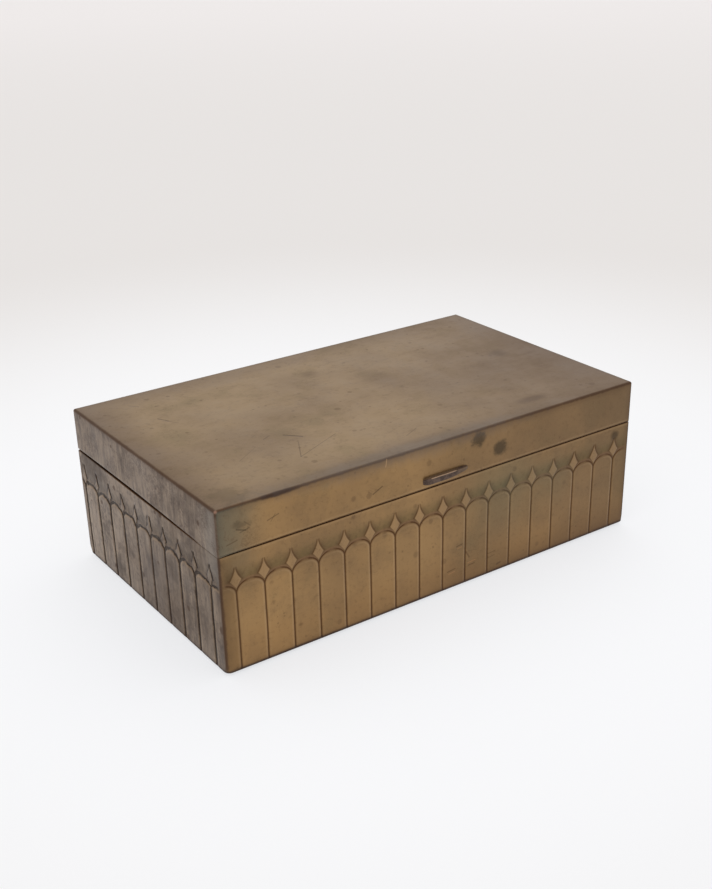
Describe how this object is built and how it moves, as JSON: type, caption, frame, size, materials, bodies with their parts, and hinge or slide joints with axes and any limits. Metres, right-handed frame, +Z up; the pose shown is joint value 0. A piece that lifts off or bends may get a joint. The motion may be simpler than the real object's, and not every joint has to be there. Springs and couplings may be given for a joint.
{
  "type": "metal table box with hinged lid",
  "caption": "Long bronze table box with a plain hinged lid, a thumb lift, etched arcades round the walls and a cedar-lined compartment.",
  "frame": {"origin": "on the table plane, under the middle of the box: the centre of the felt's underside", "axes": "+X to the right along the length, -Y towards the front with the thumb lift, +Z up"},
  "size_m": [0.216, 0.1325, 0.0723],
  "materials": {
    "bronze": "aged satin patina",
    "hinge_brass": "aged satin",
    "cedar": "unfinished",
    "felt": "felt"
  },
  "bodies": {
    "box": {"body_shell": "bronze", "base_felt": "felt", "floor_board": "cedar", "front_board": "cedar", "back_board": "cedar", "left_board": "cedar", "right_board": "cedar", "lower_leaf": "hinge_brass", "hinge_pin": "hinge_brass", "lower_rivets": "hinge_brass"},
    "lid": {"lid_shell": "bronze", "thumb_lift": "bronze", "lid_panel": "cedar", "lid_front_rail": "cedar", "lid_back_rail": "cedar", "lid_left_rail": "cedar", "lid_right_rail": "cedar", "upper_leaf": "hinge_brass", "upper_rivets": "hinge_brass"}
  },
  "joints": [
    {"name": "lid_hinge", "type": "hinge", "parent": "box", "child": "lid", "pos_m": [0, 0.0635, 0.05295], "axis": [-1, 0, 0], "range_deg": [0, 100]}
  ]
}
